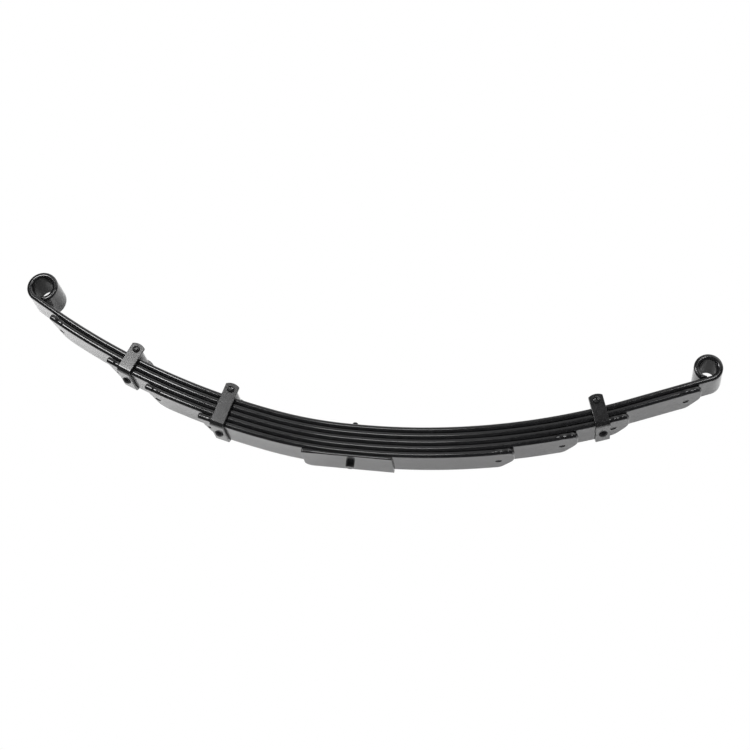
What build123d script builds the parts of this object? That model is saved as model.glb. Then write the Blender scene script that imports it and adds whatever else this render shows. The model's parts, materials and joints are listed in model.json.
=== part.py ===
"""Semi-elliptic leaf spring pack of a light off-road vehicle, free (unladen) shape.

Frame: millimetres. +X towards the rear (shackle) eye, +Y across the leaves, +Z up.
The origin is on the centre bolt's axis, in the plane of the saddle plate's underside,
which is the face that seats on the axle pad.
"""

import os
from math import cos, radians, sin

from build123d import *

# ---------------------------------------------------------------- driving dimensions
LEAF_WIDTH = 60.0
MAIN_THICKNESS = 8.5
LEAF_THICKNESS = 9.5
EDGE_ROUND = 2.8
SEAT_GAP = 0.25  # paint between two leaves at the centre bolt
FLAT_STEP = 1.0  # each lower leaf stays flat this much further out, which opens the leaves

PLATE_THICKNESS = 4.0  # at the centre bolt; the top face is hollowed to fit the fifth leaf
PLATE_FRONT = 71.0
PLATE_REAR = 64.0
PLATE_CORNER = 14.0  # the far front corner; the others are nearly square
PLATE_OTHER_CORNERS = 2.0
PLATE_EDGE_BREAK = 0.8
PLATE_HOLLOW_TURN = 6.0  # degrees of bend that the hollow covers on each side, past the plate's ends
HEAD_RECESS_R = 6.8  # recess under the plate that takes the centre bolt's head
HEAD_RECESS = 1.0

LOWER_LEAVES = {  # name: length along the leaf from the centre bolt to each tip
    "second": {"front": 514.0, "rear": 522.0},
    "third": {"front": 401.0, "rear": 412.0},
    "fourth": {"front": 330.0, "rear": 336.0},
    "fifth": {"front": 238.0, "rear": 243.0},
}
# Corners of a tip's outline from the near (-Y) to the far side: (behind the tip's end, across, radius)
TIP_CORNERS = {
    "front": ((0.0, -LEAF_WIDTH / 2, 3.0), (20.0, LEAF_WIDTH / 2, 24.0)),
    "rear": ((0.0, -LEAF_WIDTH / 2, 10.0), (0.0, 5.0, 24.0), (21.0, LEAF_WIDTH / 2, 18.0)),
}
TIP_REACH = 40.0  # the cut at a tip starts this far behind its end

# Each half of the pack: which way it runs, the flat at the seat, the bends of the main
# leaf's top face as (radius, slope at the end of the bend), and the eye rolled at its end.
FRONT = {"way": -1, "flat": 0.0, "bends": ((640.0, 10.5), (1160.0, 29.7)), "eye_x": 508.0, "bore": 15.75}
REAR = {"way": 1, "flat": 14.0, "bends": ((1026.0, 22.0),), "eye_x": 512.0, "bore": 13.0}
HALVES = {"front": FRONT, "rear": REAR}
EYE_ROLL = 308.0

TIP_HOLE_INSET = {"front": 20.0, "rear": 24.5}
TIP_HOLE_R = 4.7
CUP_R = 7.5
CUP_DEPTH = 1.5
PAD_CLEARANCE = 0.15  # above and below the pad
PAD_SIDE_CLEARANCE = 0.3
STUD_SHORT = 1.0  # the pad's stud ends this far inside the leaf's underside

BOLT_R = 4.0
CENTRE_HOLE_R = 4.3
HEAD_R = 6.5
HEAD_BELOW = 8.0  # how far the head stands out under the plate
HEAD_COLLAR_R = 6.2  # the head's seat, inside the plate's recess
HEAD_EDGE_BREAK = 1.0
BOLT_END = 12.0  # the centre bolt's end above the main leaf
BOLT_END_ROUND = 2.5
NUT_FLATS = 13.0
NUT_HEIGHT = 6.5
NUT_CORNER_TURN = 1.09  # the nut's corners are turned down to this share of its inner radius
NUT_SEAT_GAP = 0.05

# Rebound clips: which half, the leaf that the strap is riveted to, and how far out along it.
CLIPS = {
    "front_outer": ("front", "third", 365.0),
    "front_inner": ("front", "fifth", 203.0),
    "rear": ("rear", "third", 371.0),
}
STRAP_THICKNESS = 4.0
STRAP_WIDTH = 22.0
STRAP_SIDE_GAP = 2.0  # between a leaf's edge and the strap's leg
STRAP_SEAT_GAP = 0.3
STRAP_BEND = 3.0  # inner radius
EAR_ABOVE_BOLT = 10.0
EAR_ROUND = 20.0
EAR_HOLE_CLEARANCE = 0.3
CLIP_BOLT_ABOVE = 8.5  # clip bolt's axis above the main leaf's top face
SPACER_R = 7.0
SPACER_BORE_R = 4.08
SPACER_END_GAP = 0.3
RIVET_R = 4.0
RIVET_HEAD_R = 7.2
RIVET_HEAD_HEIGHT = 4.6
RIVET_SINK_R = 5.6
RIVET_SINK_DEPTH = 2.4
RIVET_SINK_FLUSH = 0.5  # depth of the sunk head's straight rim
RIVET_FIT = 0.3
BUTTON_R = 5.8
BUTTON_HEIGHT = 2.2
BUTTON_ROUND = 1.6
CLIP_BOLT_END = 3.0  # past its nut
CLIP_BOLT_END_BREAK = 0.8

# ---------------------------------------------------------------- the stack at the centre bolt
LEAVES = {}  # name: thickness, depth of the mid-plane below the main leaf's top face, extra flat
depth = MAIN_THICKNESS / 2
LEAVES["main"] = {"thickness": MAIN_THICKNESS, "depth": depth, "flat": 0.0}
depth = MAIN_THICKNESS + SEAT_GAP + LEAF_THICKNESS / 2
for order, leaf_name in enumerate(LOWER_LEAVES, start=1):
    LEAVES[leaf_name] = {"thickness": LEAF_THICKNESS, "depth": depth, "flat": order * FLAT_STEP}
    depth += LEAF_THICKNESS + SEAT_GAP
PACK_BOTTOM = LEAVES["fifth"]["depth"] + LEAF_THICKNESS / 2
TOP_Z = PACK_BOTTOM + SEAT_GAP + PLATE_THICKNESS

os.makedirs("parts", exist_ok=True)


def station(half, leaf_name, arc, below_mid=0.0):
    """Point and slope at a distance along a leaf: x, z and the upward slope in degrees."""
    leaf = LEAVES[leaf_name]
    way = half["way"]
    z = TOP_Z - leaf["depth"] - below_mid
    x = min(arc, half["flat"] + leaf["flat"])
    left = arc - x
    slope = 0.0
    for radius, end_slope in half["bends"]:
        bend = radius + leaf["depth"]
        turn = min(left / bend, radians(end_slope) - slope)
        x += (bend + below_mid) * (sin(slope + turn) - sin(slope))
        z += (bend + below_mid) * (cos(slope) - cos(slope + turn))
        slope += turn
        left -= bend * turn
    x += left * cos(slope)
    z += left * sin(slope)
    return way * x, z, slope / radians(1)


def plane_at(half, leaf_name, arc, below_mid=0.0, y=0.0):
    """Plane lying in the leaf: local X outwards along it, local Z out of its top face."""
    x, z, slope = station(half, leaf_name, arc, below_mid)
    angle = radians(slope)
    way = half["way"]
    return Plane(
        origin=(x, y, z),
        x_dir=(way * cos(angle), 0, sin(angle)),
        z_dir=(-way * sin(angle), 0, cos(angle)),
    )


def draw_half(half, leaf_name, length):
    """Add the leaf's mid-plane curve from the centre bolt outwards; give its end and heading."""
    leaf = LEAVES[leaf_name]
    way = half["way"]
    z = TOP_Z - leaf["depth"]
    reach = half["flat"] + leaf["flat"]
    if reach > 0:
        Line((0, z), (way * reach, z))
    slope = 0.0
    x = reach
    for radius, end_slope in half["bends"]:
        bend = radius + leaf["depth"]
        turn = min((length - reach) / bend, radians(end_slope) - slope)
        if turn <= 0:
            break
        start = (way * x, z)
        heading = (way * cos(slope), sin(slope))
        JernArc(start=start, tangent=heading, radius=bend, arc_size=way * turn / radians(1))
        x += bend * (sin(slope + turn) - sin(slope))
        z += bend * (cos(slope) - cos(slope + turn))
        slope += turn
        reach += bend * turn
    straight = length - reach
    if straight > 0.01:
        end = (x + straight * cos(slope), z + straight * sin(slope))
        Line((way * x, z), (way * end[0], end[1]))
        x, z = end
    return x, z, slope


def main_half_length(half):
    """Length of the main leaf, mid-plane, from the centre bolt to where the eye's roll starts."""
    bend_end = half["flat"]
    arc = half["flat"]
    slope = 0.0
    for radius, end_slope in half["bends"]:
        bend = radius + MAIN_THICKNESS / 2
        bend_end += bend * (sin(radians(end_slope)) - sin(slope))
        arc += bend * (radians(end_slope) - slope)
        slope = radians(end_slope)
    roll_start = half["eye_x"] + (half["bore"] + MAIN_THICKNESS / 2) * sin(slope)
    return arc + (roll_start - bend_end) / cos(slope)


def eye_centre(half):
    """Centre of the eye: straight above the end of the main leaf's straight run."""
    x, z, slope = station(half, "main", main_half_length(half))
    rise = half["bore"] + MAIN_THICKNESS / 2
    way = half["way"]
    return x - way * rise * sin(radians(slope)), z + rise * cos(radians(slope))


def clip_station(clip_name):
    """The half, plane on the strap's leaf, and heights of the leaf pack above its mid-plane."""
    half_name, leaf_name, arc = CLIPS[clip_name]
    half = HALVES[half_name]
    base = plane_at(half, leaf_name, arc)
    # distance from this leaf's mid-plane to the main leaf's top face, along the normal
    spread = LEAVES[leaf_name]["flat"] * sin(radians(station(half, leaf_name, arc)[2]))
    top = LEAVES[leaf_name]["depth"] + spread
    return half, leaf_name, base, top


def rivet_plane(base):
    """Plane along the leaf through a rivet's axis, with local Y along the axis."""
    return Plane(origin=base.origin, x_dir=base.x_dir, z_dir=-base.y_dir)


def export_piece(builder, node_name):
    """Label a finished piece and write it to its own file."""
    builder.part.label = node_name
    export_step(builder.part, f"parts/{node_name}.step")


# ---------------------------------------------------------------- cutters shared by the pieces
def rivet_outline(plane, grow, shank_below, head_height):
    """Half outline of a clip rivet about its axis, in a plane through it: its top head is sunk."""
    foot = (RIVET_R + grow, -shank_below)
    crown = (0, -shank_below - head_height)
    with BuildSketch(plane) as outline:
        with BuildLine():
            Polyline(
                crown,
                (0, LEAF_THICKNESS / 2 + grow),
                (RIVET_SINK_R + grow, LEAF_THICKNESS / 2 + grow),
                (RIVET_SINK_R + grow, LEAF_THICKNESS / 2 - RIVET_SINK_FLUSH),
                (RIVET_R + grow, LEAF_THICKNESS / 2 - RIVET_SINK_DEPTH),
                foot,
            )
            if head_height > 0:
                rim = (RIVET_HEAD_R, -shank_below)
                Line(foot, rim)
                RadiusArc(rim, crown, (RIVET_HEAD_R**2 + head_height**2) / (2 * head_height))
            else:
                Line(foot, crown)
        make_face()
    return outline.sketch


def tip_cuts(half_name, leaf_name, length):
    """Cut the tip to its outline and make the cup and hole for the anti-squeak pad."""
    half = HALVES[half_name]
    tip = plane_at(half, leaf_name, length)
    corners = TIP_CORNERS[half_name]
    # local Y of the tip plane runs along -Y at the front and +Y at the rear
    outline = [(-TIP_REACH, corners[0][1] * half["way"])]
    outline += [(-behind, across * half["way"]) for behind, across, radius in corners]
    outline += [(-TIP_REACH, corners[-1][1] * half["way"])]
    with BuildSketch(tip.offset(-LEAF_THICKNESS)) as beyond:
        with Locations((0, 0)):
            Rectangle(2 * TIP_REACH, LEAF_WIDTH + 4)
        with BuildLine():
            FilletPolyline(*outline, radius=[radius for behind, across, radius in corners])
            Line(outline[-1], outline[0])
        make_face(mode=Mode.SUBTRACT)
    extrude(beyond.sketch, amount=2 * LEAF_THICKNESS, mode=Mode.SUBTRACT)
    cup = plane_at(half, leaf_name, length - TIP_HOLE_INSET[half_name], -(LEAF_THICKNESS / 2 - CUP_DEPTH))
    with BuildSketch(cup) as cup_floor:
        Circle(CUP_R)
    extrude(cup_floor.sketch, amount=CUP_DEPTH + 2, mode=Mode.SUBTRACT)
    with BuildSketch(cup) as stud_hole:
        Circle(TIP_HOLE_R)
    extrude(stud_hole.sketch, amount=-LEAF_THICKNESS - 2, mode=Mode.SUBTRACT)


def add_nut(seat):
    """Hexagon nut standing on a plane, with turned corners, around a bolt's shank."""
    with BuildSketch(seat) as hexagon:
        RegularPolygon(NUT_FLATS / 2, 6, major_radius=False)
        Circle(NUT_FLATS / 2 * NUT_CORNER_TURN, mode=Mode.INTERSECT)
        Circle(BOLT_R, mode=Mode.SUBTRACT)
    extrude(hexagon.sketch, amount=NUT_HEIGHT)


# ---------------------------------------------------------------- main leaf with its two eyes
with BuildPart() as main_leaf:
    with BuildLine(Plane.XZ) as main_path:
        for half in HALVES.values():
            x, z, slope = draw_half(half, "main", main_half_length(half))
            JernArc(
                start=(half["way"] * x, z),
                tangent=(half["way"] * cos(slope), sin(slope)),
                radius=half["bore"] + MAIN_THICKNESS / 2,
                arc_size=half["way"] * EYE_ROLL,
            )
    main_wire = main_path.wire()
    with BuildSketch(Plane(origin=main_wire @ 0, x_dir=(0, 1, 0), z_dir=main_wire % 0)):
        RectangleRounded(LEAF_WIDTH, MAIN_THICKNESS, EDGE_ROUND)
    sweep(path=main_wire)
    with BuildSketch(Plane.XY.offset(TOP_Z + 1)):
        Circle(CENTRE_HOLE_R)
    extrude(amount=-MAIN_THICKNESS - 2, mode=Mode.SUBTRACT)
export_piece(main_leaf, "main_leaf")

# ---------------------------------------------------------------- second to fifth leaf
for leaf_name, lengths in LOWER_LEAVES.items():
    with BuildPart() as lower_leaf:
        with BuildLine(Plane.XZ) as leaf_path:
            for half_name, half in HALVES.items():
                draw_half(half, leaf_name, lengths[half_name])
        leaf_wire = leaf_path.wire()
        with BuildSketch(Plane(origin=leaf_wire @ 0, x_dir=(0, 1, 0), z_dir=leaf_wire % 0)):
            RectangleRounded(LEAF_WIDTH, LEAF_THICKNESS, EDGE_ROUND)
        sweep(path=leaf_wire)
        with BuildSketch(Plane.XY.offset(TOP_Z - LEAVES[leaf_name]["depth"] - LEAF_THICKNESS)):
            Circle(CENTRE_HOLE_R)
        extrude(amount=2 * LEAF_THICKNESS, mode=Mode.SUBTRACT)
        for half_name in HALVES:
            tip_cuts(half_name, leaf_name, lengths[half_name])
        for clip_name in CLIPS:
            clip_half, clip_leaf, base, pack_top = clip_station(clip_name)
            if clip_leaf == leaf_name:
                hole = rivet_outline(rivet_plane(base), RIVET_FIT, LEAF_THICKNESS, 0.0)
                revolve(hole, axis=Axis(base.origin, base.z_dir), mode=Mode.SUBTRACT)
    export_piece(lower_leaf, f"{leaf_name}_leaf")

# ---------------------------------------------------------------- saddle plate
with BuildPart() as saddle_plate:
    with BuildSketch(Plane.XY) as plate_outline:
        with Locations(((PLATE_REAR - PLATE_FRONT) / 2, 0)):
            Rectangle(PLATE_FRONT + PLATE_REAR, LEAF_WIDTH)
        far_front = plate_outline.vertices().group_by(Axis.X)[0].sort_by(Axis.Y)[-1]
        fillet(far_front, PLATE_CORNER)
        square = plate_outline.vertices().group_by(Axis.X)[-1] + plate_outline.vertices().group_by(Axis.Y)[0]
        fillet(ShapeList(set(square)), PLATE_OTHER_CORNERS)
    extrude(amount=2 * PLATE_THICKNESS)
    chamfer(saddle_plate.faces().sort_by(Axis.Z)[0].edges(), PLATE_EDGE_BREAK)
    # the top face follows the fifth leaf's underside
    with BuildSketch(Plane.XZ) as hollow:
        with BuildLine():
            arcs = []
            for half in HALVES.values():
                flat_end = (half["way"] * (half["flat"] + LEAVES["fifth"]["flat"]), PLATE_THICKNESS)
                Line((0, PLATE_THICKNESS), flat_end)
                arcs.append(
                    JernArc(
                        start=flat_end,
                        tangent=(half["way"], 0),
                        radius=half["bends"][0][0] + PACK_BOTTOM,
                        arc_size=half["way"] * PLATE_HOLLOW_TURN,
                    )
                )
            front_end, rear_end = arcs[0] @ 1, arcs[1] @ 1
            above = 3 * PLATE_THICKNESS
            Polyline(front_end, (front_end.X, above), (rear_end.X, above), rear_end)
        make_face()
    extrude(amount=LEAF_WIDTH, both=True, mode=Mode.SUBTRACT)
    with BuildSketch(Plane.XY):
        Circle(CENTRE_HOLE_R)
    extrude(amount=2 * PLATE_THICKNESS, mode=Mode.SUBTRACT)
    with BuildSketch(Plane.XY):
        Circle(HEAD_RECESS_R)
    extrude(amount=HEAD_RECESS, mode=Mode.SUBTRACT)
export_piece(saddle_plate, "saddle_plate")

# ---------------------------------------------------------------- centre bolt and its nut
with BuildPart() as centre_bolt:
    with BuildSketch(Plane.XY.offset(-HEAD_BELOW)):
        Circle(HEAD_R)
    extrude(amount=HEAD_BELOW)
    chamfer(centre_bolt.faces().sort_by(Axis.Z)[0].edges(), HEAD_EDGE_BREAK)
    with BuildSketch(Plane.XY):
        Circle(HEAD_COLLAR_R)
    extrude(amount=HEAD_RECESS)
    with BuildSketch(Plane.XY):
        Circle(BOLT_R)
    extrude(amount=TOP_Z + BOLT_END)
    fillet(centre_bolt.faces().sort_by(Axis.Z)[-1].edges(), BOLT_END_ROUND)
export_piece(centre_bolt, "centre_bolt")

with BuildPart() as centre_nut:
    add_nut(Plane.XY.offset(TOP_Z + NUT_SEAT_GAP))
export_piece(centre_nut, "centre_nut")

# ---------------------------------------------------------------- rebound clips
LEG_INSIDE = LEAF_WIDTH / 2 + STRAP_SIDE_GAP
LEG_OUTSIDE = LEG_INSIDE + STRAP_THICKNESS
STRAP_TOP = -LEAF_THICKNESS / 2 - STRAP_SEAT_GAP
STRAP_BOTTOM = STRAP_TOP - STRAP_THICKNESS

for clip_name in CLIPS:
    clip_half, clip_leaf, base, pack_top = clip_station(clip_name)
    bolt_level = pack_top + CLIP_BOLT_ABOVE
    ear_top = bolt_level + EAR_ABOVE_BOLT
    bolt_axis = Plane(origin=base.from_local_coords((0, 0, bolt_level)), x_dir=(1, 0, 0), z_dir=(0, -1, 0))
    across = Plane(origin=base.origin, x_dir=base.y_dir, z_dir=base.x_dir)

    with BuildPart() as strap:
        with BuildSketch(across) as outside:
            with Locations((0, (ear_top + STRAP_BOTTOM) / 2)):
                Rectangle(2 * LEG_OUTSIDE, ear_top - STRAP_BOTTOM)
            fillet(outside.vertices().group_by(Axis.Y)[0], STRAP_BEND + STRAP_THICKNESS)
        extrude(amount=STRAP_WIDTH / 2, both=True)
        with BuildSketch(across) as inside:
            with Locations((0, (ear_top + EAR_ROUND + STRAP_TOP) / 2)):
                Rectangle(2 * LEG_INSIDE, ear_top + EAR_ROUND - STRAP_TOP)
            fillet(inside.vertices().group_by(Axis.Y)[0], STRAP_BEND)
        extrude(amount=STRAP_WIDTH, both=True, mode=Mode.SUBTRACT)
        with BuildSketch(bolt_axis):
            Circle(BOLT_R + EAR_HOLE_CLEARANCE)
        extrude(amount=2 * LEG_OUTSIDE, both=True, mode=Mode.SUBTRACT)
        # each ear's end is a shallow arc
        with BuildSketch(bolt_axis.offset(-LEG_OUTSIDE - 1)) as ear_end:
            ear_tilt = -base.x_dir.get_signed_angle(Vector(clip_half["way"], 0, 0), Vector(0, 1, 0))
            with Locations(Location((0, 0), ear_tilt)):
                with Locations((0, EAR_ABOVE_BOLT)):
                    Rectangle(2 * STRAP_WIDTH, 2 * EAR_ABOVE_BOLT)
                with Locations((0, EAR_ABOVE_BOLT - EAR_ROUND)):
                    Circle(EAR_ROUND, mode=Mode.SUBTRACT)
        extrude(amount=2 * LEG_OUTSIDE + 2, mode=Mode.SUBTRACT)
        with BuildSketch(base.offset(STRAP_BOTTOM - 1)):
            Circle(RIVET_R)
        extrude(amount=STRAP_THICKNESS + 2, mode=Mode.SUBTRACT)
    export_piece(strap, f"{clip_name}_clip")

    with BuildPart() as rivet:
        profile = rivet_outline(rivet_plane(base), 0.0, -STRAP_BOTTOM, RIVET_HEAD_HEIGHT)
        revolve(profile, axis=Axis(base.origin, base.z_dir))
    export_piece(rivet, f"{clip_name}_clip_rivet")

    with BuildPart() as clip_bolt:
        with BuildSketch(bolt_axis.offset(LEG_OUTSIDE)):
            Circle(BUTTON_R)
        extrude(amount=BUTTON_HEIGHT)
        fillet(clip_bolt.faces().sort_by(Axis.Y)[0].edges(), BUTTON_ROUND)
        with BuildSketch(bolt_axis.offset(LEG_OUTSIDE)):
            Circle(BOLT_R)
        extrude(amount=-2 * LEG_OUTSIDE - NUT_HEIGHT - CLIP_BOLT_END)
        chamfer(clip_bolt.faces().sort_by(Axis.Y)[-1].edges(), CLIP_BOLT_END_BREAK)
    export_piece(clip_bolt, f"{clip_name}_clip_bolt")

    with BuildPart() as clip_nut:
        add_nut(bolt_axis.offset(-LEG_OUTSIDE - NUT_HEIGHT))
    export_piece(clip_nut, f"{clip_name}_clip_nut")

    with BuildPart() as spacer:
        with BuildSketch(bolt_axis.offset(-LEG_INSIDE + SPACER_END_GAP)):
            Circle(SPACER_R)
            Circle(SPACER_BORE_R, mode=Mode.SUBTRACT)
        extrude(amount=2 * (LEG_INSIDE - SPACER_END_GAP))
    export_piece(spacer, f"{clip_name}_clip_spacer")

# ---------------------------------------------------------------- anti-squeak pads at the tips
for leaf_name, lengths in LOWER_LEAVES.items():
    for half_name, half in HALVES.items():
        arc = lengths[half_name] - TIP_HOLE_INSET[half_name]
        floor = plane_at(half, leaf_name, arc, -(LEAF_THICKNESS / 2 - CUP_DEPTH))
        leaf_gap = SEAT_GAP + FLAT_STEP * sin(radians(station(half, leaf_name, arc)[2]))
        pad_height = CUP_DEPTH + leaf_gap - 2 * PAD_CLEARANCE
        with BuildPart() as pad:
            with BuildSketch(floor.offset(PAD_CLEARANCE)):
                Circle(CUP_R - PAD_SIDE_CLEARANCE)
            extrude(amount=pad_height)
            with BuildSketch(floor.offset(PAD_CLEARANCE)):
                Circle(TIP_HOLE_R - PAD_SIDE_CLEARANCE)
            extrude(amount=-(LEAF_THICKNESS - CUP_DEPTH + PAD_CLEARANCE - STUD_SHORT))
        export_piece(pad, f"{leaf_name}_leaf_{half_name}_pad")

# ---------------------------------------------------------------- sizes worth reading
for half_name, half in HALVES.items():
    eye_x, eye_z = eye_centre(half)
    print(half_name, "eye centre", round(eye_x, 2), round(eye_z, 2), "leaf", round(main_half_length(half), 1))
for clip_name in CLIPS:
    clip_half, clip_leaf, base, pack_top = clip_station(clip_name)
    bolt_point = base.from_local_coords((0, 0, pack_top + CLIP_BOLT_ABOVE))
    print(clip_name, "bolt", round(bolt_point.X, 2), round(bolt_point.Z, 2))
print("stack top", TOP_Z)
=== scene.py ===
"""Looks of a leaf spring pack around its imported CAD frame: leaves, clips, fasteners, paint and studio."""

import json
from math import asin, atan2, cos, pi, radians, sin, tan

import bmesh
import bpy
from mathutils import Matrix, Vector


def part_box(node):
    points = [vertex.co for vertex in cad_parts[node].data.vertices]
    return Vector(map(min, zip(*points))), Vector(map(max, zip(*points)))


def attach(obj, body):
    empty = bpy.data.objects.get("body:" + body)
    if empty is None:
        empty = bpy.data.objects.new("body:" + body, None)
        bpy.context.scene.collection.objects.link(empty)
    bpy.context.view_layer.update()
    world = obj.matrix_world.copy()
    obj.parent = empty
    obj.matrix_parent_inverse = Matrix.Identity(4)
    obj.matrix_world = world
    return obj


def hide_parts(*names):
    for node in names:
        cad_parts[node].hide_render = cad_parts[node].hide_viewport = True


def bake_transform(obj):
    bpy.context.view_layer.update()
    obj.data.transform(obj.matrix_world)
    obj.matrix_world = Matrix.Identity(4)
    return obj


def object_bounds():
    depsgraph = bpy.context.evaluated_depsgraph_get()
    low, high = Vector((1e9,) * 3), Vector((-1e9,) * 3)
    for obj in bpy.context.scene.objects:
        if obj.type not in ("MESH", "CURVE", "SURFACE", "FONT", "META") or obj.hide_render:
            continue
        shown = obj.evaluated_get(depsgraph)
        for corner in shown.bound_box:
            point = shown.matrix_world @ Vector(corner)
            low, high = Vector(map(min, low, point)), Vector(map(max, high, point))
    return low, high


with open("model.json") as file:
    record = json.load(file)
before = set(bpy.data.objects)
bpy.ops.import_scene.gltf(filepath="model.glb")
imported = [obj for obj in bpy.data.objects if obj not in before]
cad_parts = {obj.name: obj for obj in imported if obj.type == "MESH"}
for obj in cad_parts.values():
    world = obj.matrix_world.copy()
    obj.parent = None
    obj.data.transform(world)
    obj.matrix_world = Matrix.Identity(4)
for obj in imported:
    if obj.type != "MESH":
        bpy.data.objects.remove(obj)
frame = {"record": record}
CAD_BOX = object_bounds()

MM = 0.001

# ---------------------------------------------------------------- driving dimensions, in metres
MOUNTS = {m["name"]: m for m in frame["record"]["mounts"]}
LEAF_WIDTH = 60 * MM
MAIN_THICKNESS = 8.5 * MM
LEAF_THICKNESS = 9.5 * MM
EDGE_INSET = 2.8 * MM  # how far a leaf's top and bottom faces stop short of its rounded edge
EDGE_POWER = 2.15  # 2 is an ellipse, more is squarer
SEAT_GAP = 0.25 * MM
FLAT_STEP = 1 * MM
STACK_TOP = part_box("main_leaf")[0].z + MAIN_THICKNESS

LOWER_LEAVES = {  # length from the centre bolt to each tip
    "second": {"front": 514 * MM, "rear": 522 * MM},
    "third": {"front": 401 * MM, "rear": 412 * MM},
    "fourth": {"front": 330 * MM, "rear": 336 * MM},
    "fifth": {"front": 238 * MM, "rear": 243 * MM},
}
NEAR, FAR = -LEAF_WIDTH / 2, LEAF_WIDTH / 2
# Corners of a tip's outline from the near to the far side: (behind the tip's end, across, radius)
TIP_CORNERS = {
    "front": ((0.0, NEAR, 3 * MM), (20 * MM, FAR, 24 * MM)),
    "rear": ((0.0, NEAR, 10 * MM), (0.0, 5 * MM, 24 * MM), (21 * MM, FAR, 18 * MM)),
}
TIP_ZONE = 42 * MM  # length of leaf at each tip that holds the corners and the pad's hole
TIP_BULGE = 0.6 * MM  # the punched cup spreads the leaf's edges
TIP_BULGE_REACH = 7 * MM

# Each half: direction, flat at the seat, bends of the main leaf's top face (radius, end slope), its eye
HALVES = {
    "front": {"way": -1, "flat": 0.0, "bends": ((640 * MM, 10.5), (1160 * MM, 29.7)), "eye": "front_eye"},
    "rear": {"way": 1, "flat": 14 * MM, "bends": ((1026 * MM, 22.0),), "eye": "rear_eye"},
}
EYE_ROLL = radians(334)
SCARF_START = radians(300)  # where the end of the roll starts to thin towards the leaf below it
SCARF_GAP = 0.3 * MM
ROW_SPACING = 4 * MM
ROLL_ROW_ANGLE = radians(5)
HINGE_SPANS = {"root": (20 * MM, 246 * MM), "arm": (246 * MM, 346 * MM)}  # along the third leaf

TIP_HOLE_INSET = {"front": 20 * MM, "rear": 24.5 * MM}
TIP_HOLE_R = 4.7 * MM
CUP_R = 7.5 * MM
CUP_DEPTH = 1.5 * MM

BOLT_R = 4 * MM
NUT_FLATS = 13 * MM
NUT_HEIGHT = 6.5 * MM

CLIPS = {  # half, riveted leaf, distance along it, body
    "front_outer": ("front", "third", 365 * MM, "front_end"),
    "front_inner": ("front", "fifth", 203 * MM, "front_middle"),
    "rear": ("rear", "third", 371 * MM, "rear_end"),
}
STRAP_THICKNESS = 4 * MM
STRAP_WIDTH = 22 * MM
STRAP_INSIDE = 32 * MM  # from the leaf's middle to the inner face of the strap's leg
STRAP_SEAT_GAP = 0.3 * MM
STRAP_BEND = 3 * MM
STRAP_EDGE = 0.8 * MM
EAR_ABOVE_BOLT = 10 * MM
EAR_ROUND = 20 * MM
EAR_CORNER = 2 * MM
CLIP_BOLT_ABOVE = 8.5 * MM

LEAVES = {}  # name: thickness, depth of the mid-plane under the main leaf's top face, extra flat
LEAVES["main"] = {"thickness": MAIN_THICKNESS, "depth": MAIN_THICKNESS / 2, "flat": 0.0}
for order, leaf_name in enumerate(LOWER_LEAVES, start=1):
    middle = MAIN_THICKNESS + order * SEAT_GAP + (order - 0.5) * LEAF_THICKNESS
    LEAVES[leaf_name] = {"thickness": LEAF_THICKNESS, "depth": middle, "flat": order * FLAT_STEP}


# ---------------------------------------------------------------- paths along the leaves
def stretches(half, leaf):
    """The leaf's mid-plane from the centre bolt outwards, as (length, radius); radius None is straight."""
    found = [(half["flat"] + leaf["flat"], None)]
    x, slope = half["flat"] + leaf["flat"], 0.0
    for radius, end_slope in half["bends"]:
        bend = radius + leaf["depth"]
        found.append((bend * (radians(end_slope) - slope), bend))
        x += bend * (sin(radians(end_slope)) - sin(slope))
        slope = radians(end_slope)
    if leaf is LEAVES["main"]:
        eye = MOUNTS[half["eye"]]
        roll = eye["dims"]["r_mm"] * MM + MAIN_THICKNESS / 2
        found.append(((abs(eye["pos_m"][0]) + roll * sin(slope) - x) / cos(slope), None))
        found.append((roll * EYE_ROLL, roll))
    else:
        found.append((1.0, None))
    return found


def walk(path, distance):
    """x, z and slope after a distance along the stretches of a path."""
    x = z = slope = 0.0
    for length, radius in path:
        step = min(distance, length)
        distance -= step
        if radius is None:
            x += step * cos(slope)
            z += step * sin(slope)
        else:
            turn = step / radius
            x += radius * (sin(slope + turn) - sin(slope))
            z += radius * (cos(slope) - cos(slope + turn))
            slope += turn
    return x, z, slope


PATHS = {(h, n): stretches(HALVES[h], LEAVES[n]) for h in HALVES for n in LEAVES}


def on_leaf(half_name, leaf_name, distance, above=0.0, across=0.0):
    """A point at a distance along a leaf and at a height above its mid-plane."""
    x, z, slope = walk(PATHS[half_name, leaf_name], distance)
    way = HALVES[half_name]["way"]
    base = STACK_TOP - LEAVES[leaf_name]["depth"]
    return Vector((way * (x - above * sin(slope)), across, base + z + above * cos(slope)))


def leaf_axes(half_name, leaf_name, distance):
    """A place on a leaf's mid-plane as a matrix: X outwards along the leaf, Y across, Z out of its top face."""
    slope = walk(PATHS[half_name, leaf_name], distance)[2]
    way = HALVES[half_name]["way"]
    along = Vector((way * cos(slope), 0, sin(slope)))
    up = Vector((-way * sin(slope), 0, cos(slope)))
    across = up.cross(along)
    turned = Matrix((along, across, up)).transposed().to_4x4()
    return Matrix.Translation(on_leaf(half_name, leaf_name, distance)) @ turned


# ---------------------------------------------------------------- mesh building
def rounded_edge(thickness, inset, power, steps):
    """Levels of a bar's side from top to bottom, as (inset from the outline, height)."""
    levels = [(inset * 1.15, thickness / 2)]
    for k in range(steps + 1):
        angle = pi / 2 - pi * k / steps
        out = abs(cos(angle)) ** (2 / power)
        up = abs(sin(angle)) ** (2 / power) * (1 if angle > 0 else -1)
        levels.append((inset * (1 - out), thickness / 2 * up))
    levels.append((inset * 1.15, -thickness / 2))
    return levels


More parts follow.
